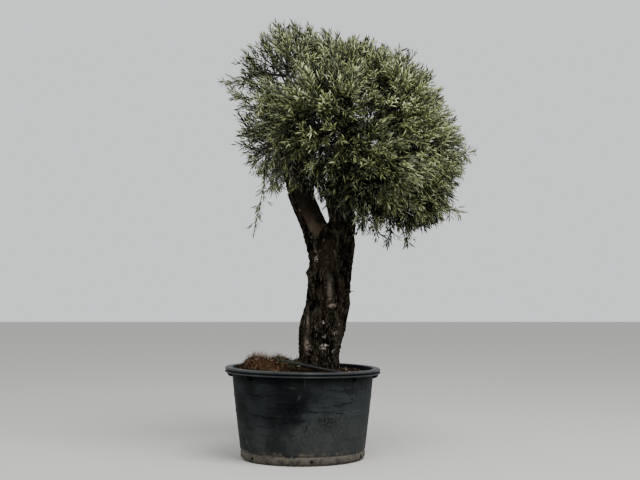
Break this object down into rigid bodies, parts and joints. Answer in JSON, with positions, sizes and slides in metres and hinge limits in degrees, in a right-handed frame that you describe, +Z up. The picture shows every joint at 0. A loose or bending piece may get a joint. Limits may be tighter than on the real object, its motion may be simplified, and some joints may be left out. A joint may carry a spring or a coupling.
{
  "type": "potted olive tree",
  "caption": "Olive tree with a thick flaky trunk forking into two limbs and a loose leafy crown, standing in a round ribbed nursery tub of soil.",
  "frame": {"origin": "middle of the tub's flat underside, on the ground", "axes": "+Z up along the tub's axis, +X to the right and +Y to the back as seen from the front"},
  "size_m": [1.9452, 1.4614, 3.1007],
  "materials": {
    "tub": "satin",
    "peat": "matte",
    "pipe": "satin",
    "bark": "matte",
    "leaves": "matte"
  },
  "bodies": {
    "root": {"tub": "tub", "root_ball": "peat", "drip_pipe": "pipe", "trunk": "bark", "left_limb": "bark", "right_limb": "bark", "left_bough": "bark", "upper_right_bough": "bark", "right_bough": "bark", "lower_right_bough": "bark", "front_bough": "bark", "lower_front_bough": "bark", "back_left_bough": "bark", "back_right_bough": "bark", "upper_left_leaves": "leaves", "left_leaves": "leaves", "top_leaves": "leaves", "upper_right_leaves": "leaves", "right_leaves": "leaves", "lower_right_leaves": "leaves", "front_leaves": "leaves", "lower_front_leaves": "leaves", "back_left_leaves": "leaves", "back_right_leaves": "leaves"}
  },
  "joints": []
}
